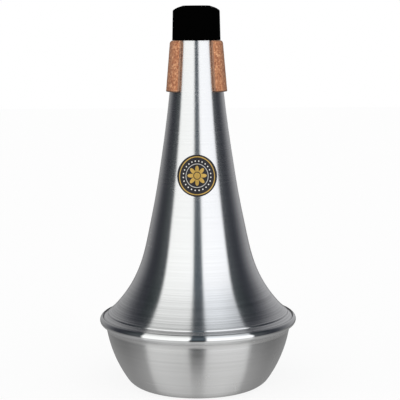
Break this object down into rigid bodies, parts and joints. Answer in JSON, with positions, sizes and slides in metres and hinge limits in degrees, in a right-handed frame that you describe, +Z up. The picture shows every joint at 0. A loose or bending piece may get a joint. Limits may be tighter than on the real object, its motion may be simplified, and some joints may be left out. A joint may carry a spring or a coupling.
{
  "type": "trombone straight mute",
  "caption": "Straight mute for a trombone bell: flared spun cone crimped to a closed bowl, with cork strips, a rubber bumper on the open narrow end and a round plain label.",
  "frame": {"origin": "middle of the flat base, on the mute's axis", "axes": "+Z up the axis to the open narrow end, -Y towards the label, +X to the right of the label seen from the front"},
  "size_m": [0.132, 0.132, 0.2536],
  "materials": {
    "cone_aluminium": "spun and polished, with fine turned lines",
    "bowl_aluminium": "spun, satin brushed",
    "bumper_rubber": "matte black",
    "cork": "fine natural cork, cut and sanded",
    "label_film": "black film with a gold and white geometric print"
  },
  "bodies": {
    "root": {"cone_shell": "cone_aluminium", "bowl_shell": "bowl_aluminium", "end_bumper": "bumper_rubber", "cork_strip_right": "cork", "cork_strip_rear": "cork", "cork_strip_left": "cork", "label": "label_film"}
  },
  "joints": []
}
